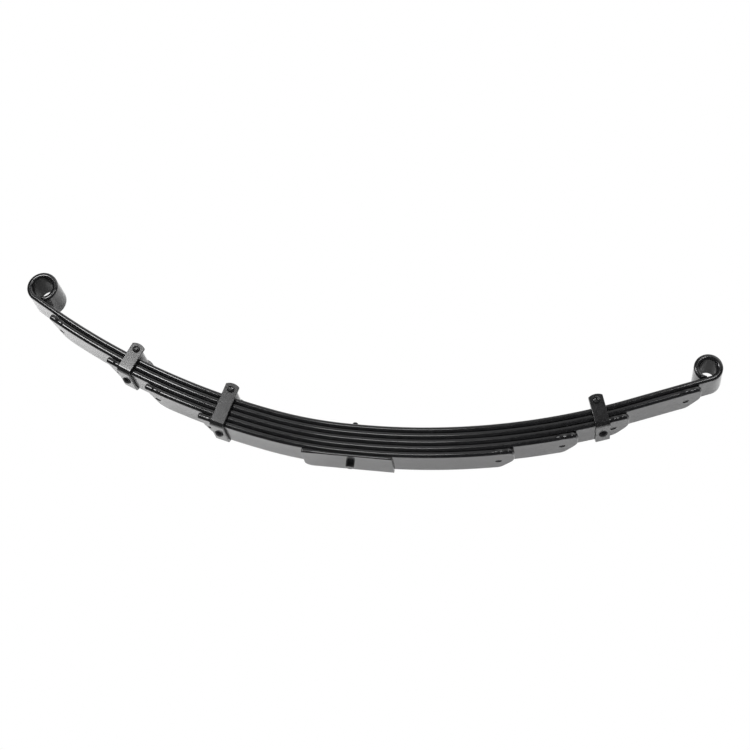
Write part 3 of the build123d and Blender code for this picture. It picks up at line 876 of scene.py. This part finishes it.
# ---------------------------------------------------------------- anti-squeak pads
def make_pad(leaf_name, length, half_name):
    """A button in the cup of a leaf's tip, with its stud in the hole."""
    distance = length - TIP_HOLE_INSET[half_name]
    node = f"{leaf_name}_leaf_{half_name}_pad"
    at = leaf_axes(half_name, leaf_name, distance)
    slope = walk(PATHS[half_name, leaf_name], distance)[2]
    clear, stud_short, side = 0.15 * MM, 1.0 * MM, 0.3 * MM
    floor = LEAF_THICKNESS / 2 - CUP_DEPTH + clear
    top = LEAF_THICKNESS / 2 + SEAT_GAP + FLAT_STEP * sin(slope) - clear
    disc, stud, edge = CUP_R - side, TIP_HOLE_R - side, 0.3 * MM
    foot = stud_short - LEAF_THICKNESS / 2
    dimple, dimple_depth = 1.5 * MM, 0.3 * MM  # under the stud
    profile = [
        (0, top),
        (disc - 2 * edge, top),
        (disc, top - edge),
        (disc, floor + edge),
        (disc - edge, floor),
        (stud, floor),
        (stud, foot + 2 * edge),
        (stud - 2 * edge, foot),
        (dimple, foot),
        (dimple - 0.3 * MM, foot + dimple_depth),
        (0, foot + dimple_depth),
    ]
    obj = finish_mesh(turned_mesh(profile), f"{node}_button")
    obj.matrix_world = at
    dress(obj, PAD_PLASTIC, "pad_plastic", node)
    rides = "middle" if length < HINGE_SPANS["root"][1] else "end"
    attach(obj, f"{half_name}_{rides}")


for leaf_name, lengths in LOWER_LEAVES.items():
    for half_name, length in lengths.items():
        make_pad(leaf_name, length, half_name)


# ---------------------------------------------------------------- studio
FLOOR_Z = -3.0
FLOOR_REACH = 30.0
ROOM_DARK, ROOM_LIGHT = 0.04, 1.5
SHEET_REACH = 3.0
SHEET_GAP = 1 * MM
# painted light: the sheet's glow runs from bright at its left to dim at its right, as if lit from the left
SHEET_GLOW = (0.55, 0.28)
EYE_SHADOW = (-0.45, 0.235)  # the middle of the shadow of the front eye painted into the sheet's glow, in the sheet's own X and Y
EYE_SHADOW_REACH = (0.03, 0.08)
EYE_SHADOW_LEFT = 0.2  # share of the sheet's glow left in the middle of the painted shadow
FLOOR_GLOW = (0.6, 0.5)
CAMERA_LENS = 93.27
CAMERA_PLACE = (0.3947, -2.7219, -0.8661)
CAMERA_PAN, CAMERA_RISE, CAMERA_LEAN = radians(7.848), radians(20.141), radians(7.524)


def flat_square(name, reach):
    """A square sheet about its own origin."""
    bm = bmesh.new()
    bmesh.ops.create_grid(bm, x_segments=8, y_segments=8, size=reach)
    obj = finish_mesh(bm, name)
    bm.free()
    return obj


def make_floor():
    """A large pale floor, well under the camera, kept out of the reflections."""
    floor = flat_square("studio_floor", FLOOR_REACH)
    floor.location.z = FLOOR_Z
    floor.visible_glossy = False
    floor.data.materials.append(studio_paper("floor_paper", *FLOOR_GLOW))


def make_sheet():
    """White sheet close behind the pack, which shows only in reflections; its glow is painted light with a
    painted shadow of the front eye.
    """
    sheet = flat_square("white_sheet", SHEET_REACH)
    sheet.rotation_euler.x = radians(90)
    sheet.location.y = CAD_BOX[1].y + SHEET_GAP
    sheet.visible_camera = False
    shadow = (EYE_SHADOW, EYE_SHADOW_REACH, EYE_SHADOW_LEFT)
    sheet.data.materials.append(studio_paper("sheet_paper", *SHEET_GLOW, shadow))


def make_world():
    """White to the camera; in reflections a dim room with a pale ceiling towards the rear eye."""
    world = bpy.data.worlds.new("studio")
    bpy.context.scene.world = world
    world.use_nodes = True
    tree = world.node_tree
    add = node_adder(tree)
    way = add("ShaderNodeSeparateXYZ", {"Vector": add("ShaderNodeTexCoord").outputs["Generated"]})
    ceiling = ramp(add, way.outputs["Z"], 0.35, 0.65)
    rearward = spread(add, way.outputs["X"], (-0.35, 0.25), (0.04, 1.0))
    lit = add("ShaderNodeMath", {0: ceiling, 1: rearward}, operation="MULTIPLY").outputs[0]
    room = spread(add, lit, (0.0, 1.0), (ROOM_DARK, ROOM_LIGHT))
    camera_ray = add("ShaderNodeLightPath").outputs["Is Camera Ray"]
    seen = add("ShaderNodeMix", {"Factor": camera_ray, "A": room, "B": 1.0}, data_type="FLOAT")
    background = tree.nodes["Background"]
    tree.links.new(seen.outputs["Result"], background.inputs["Color"])
    background.inputs["Strength"].default_value = 1.0


def area_light(name, place, target, size, power):
    """A rectangular softbox aimed at a point."""
    data = bpy.data.lights.new(name, "AREA")
    data.shape = "RECTANGLE"
    data.size, data.size_y = size
    data.energy = power
    light = bpy.data.objects.new(name, data)
    bpy.context.scene.collection.objects.link(light)
    light.location = place
    light.rotation_mode = "QUATERNION"
    light.rotation_quaternion = (Vector(target) - Vector(place)).to_track_quat("-Z", "Y")
    light.visible_camera = False


def make_lights():
    """Softboxes drawn as lines along the leaves' rounded edges, each seen by one stretch of the pack."""
    area_light("left_softbox", (-1.26, -2.8, 0.9), (-0.3, 0, 0.1), (0.62, 0.4), 17)
    area_light("middle_softbox", (-0.25, -2.4, 0.72), (0, 0, 0.05), (0.4, 0.3), 3.5)
    area_light("right_softbox", (0.8, -2.5, 0.82), (0.4, 0, 0.1), (0.25, 0.25), 3.9)


def make_camera():
    """The camera stands low in front, looks up at the pack and leans a little."""
    data = bpy.data.cameras.new("camera")
    data.sensor_width = 36.0
    data.lens = CAMERA_LENS
    camera = bpy.data.objects.new("camera", data)
    bpy.context.scene.collection.objects.link(camera)
    camera.location = CAMERA_PLACE
    turn = Matrix.Rotation(CAMERA_PAN, 4, "Z")
    turn @= Matrix.Rotation(radians(90) + CAMERA_RISE, 4, "X") @ Matrix.Rotation(CAMERA_LEAN, 4, "Z")
    camera.rotation_mode = "QUATERNION"
    camera.rotation_quaternion = turn.to_quaternion()
    bpy.context.scene.camera = camera


make_floor()
make_sheet()
make_world()
make_lights()
make_camera()
bpy.context.scene.view_settings.view_transform = "Standard"
